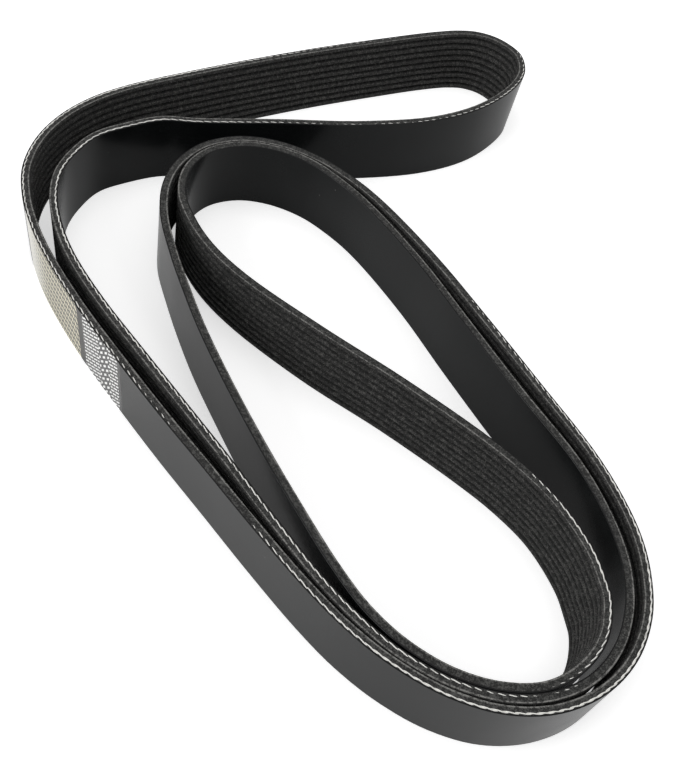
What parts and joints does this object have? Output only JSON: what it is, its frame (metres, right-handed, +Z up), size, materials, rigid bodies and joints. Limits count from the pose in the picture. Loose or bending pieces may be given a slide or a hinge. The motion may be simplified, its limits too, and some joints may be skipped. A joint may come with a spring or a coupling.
{
  "type": "serpentine belt",
  "caption": "Ribbed serpentine belt standing on its cut edge, an endless rubber strip with lengthwise V ribs inside and a smooth back, folded double and wound in a loose spiral.",
  "frame": {"origin": "under the middle of the wound belt's box, in the plane of the lower cut edge that it stands on", "axes": "+Z up, from the lower cut edge to the upper one; +Y along the longest way across the wound belt, towards the tip of the top loop; +X to the right as seen from the front"},
  "size_m": [0.296, 0.393, 0.0339],
  "materials": {
    "rubber": "satin back, matte fibre-flecked ribs",
    "tension_cord": "matte twisted yarn"
  },
  "bodies": {
    "root": {"ribbed_belt": "rubber", "edge_cord_outer_top": "tension_cord", "edge_cord_outer_side": "tension_cord", "edge_cord_inner_turn": "tension_cord", "edge_cord_middle_strand": "tension_cord"}
  },
  "joints": []
}
